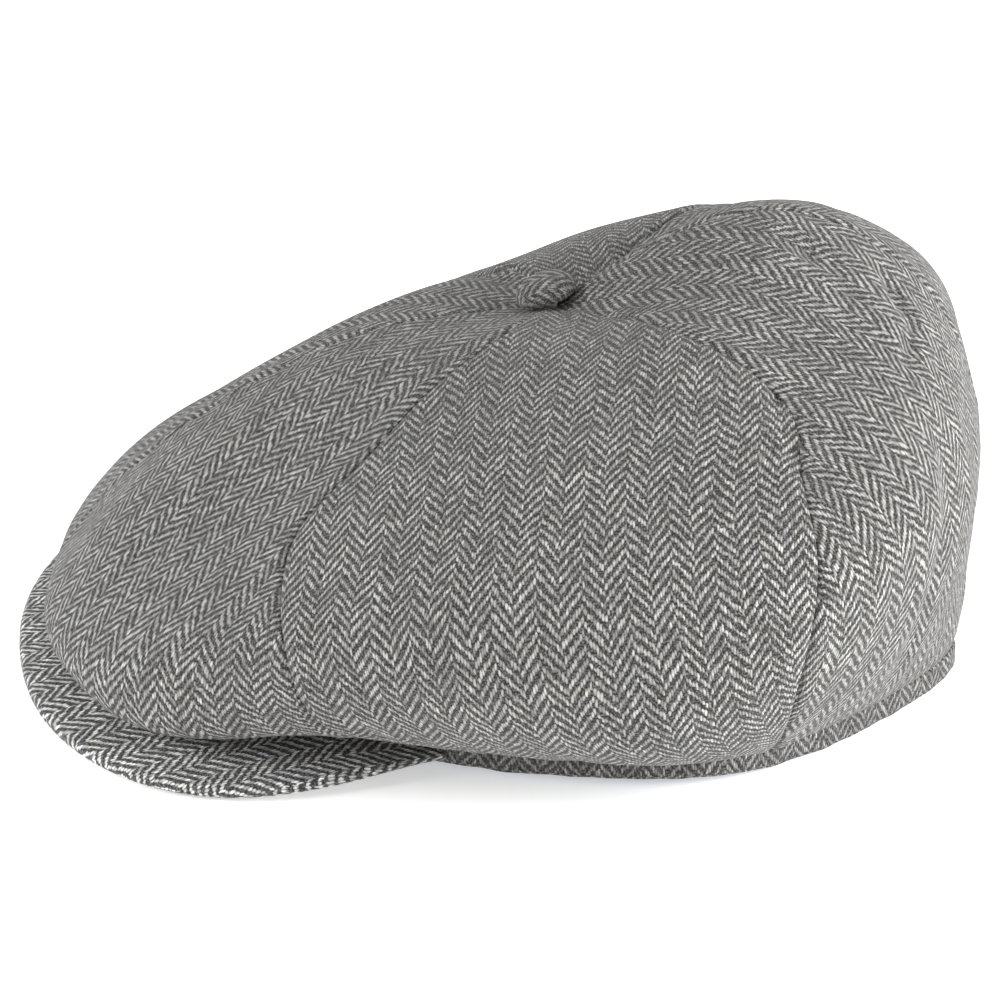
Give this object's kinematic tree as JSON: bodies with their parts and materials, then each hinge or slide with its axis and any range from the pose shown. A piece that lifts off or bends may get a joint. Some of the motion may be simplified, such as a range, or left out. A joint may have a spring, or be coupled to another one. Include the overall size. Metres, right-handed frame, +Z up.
{
  "type": "newsboy cap",
  "caption": "Soft six-gore newsboy cap with a wide overhanging crown, a covered button on top, a low edge band and a short stiff peak.",
  "frame": {"origin": "middle of the head opening on the plane the cap rests on", "axes": "+Z up out of the crown, -Y towards the peak, +X towards the wearer's left"},
  "size_m": [0.2686, 0.2734, 0.1367],
  "materials": {
    "tweed": "woven wool herringbone, light warp on charcoal weft, matt",
    "lining": "smooth light blue satin lining",
    "interfacing": "plain woven stiffening tape",
    "sweatband": "ribbed blue grosgrain tape",
    "board": "moulded polyethylene peak board",
    "metal": "plain pressed steel"
  },
  "bodies": {
    "crown": {"crown_gore_front_left": "tweed", "crown_gore_side_left": "tweed", "crown_gore_back_left": "tweed", "crown_gore_back_right": "tweed", "crown_gore_side_right": "tweed", "crown_gore_front_right": "tweed", "lining_gore_front_left": "lining", "lining_gore_side_left": "lining", "lining_gore_back_left": "lining", "lining_gore_back_right": "lining", "lining_gore_side_right": "lining", "lining_gore_front_right": "lining", "band_cloth": "tweed", "band_interfacing": "interfacing", "sweatband": "sweatband", "sweatband_join": "sweatband", "crown_eyelet": "metal"},
    "peak": {"peak_board": "board", "peak_top_cloth": "tweed", "peak_under_cloth": "tweed"},
    "button": {"button_cover": "tweed", "button_shell": "metal", "button_shank": "metal", "button_washer": "metal"}
  },
  "joints": [
    {"name": "peak_flex", "type": "hinge", "parent": "crown", "child": "peak", "pos_m": [0, -0.047, 0.003], "axis": [1, 0, 0], "range_deg": [0, 8], "stiffness_Nm_per_rad": 0.5},
    {"name": "button_turn", "type": "hinge", "parent": "crown", "child": "button", "pos_m": [0, -0.022, 0.1075], "axis": [0, -0.3256, 0.9455], "continuous": true}
  ]
}
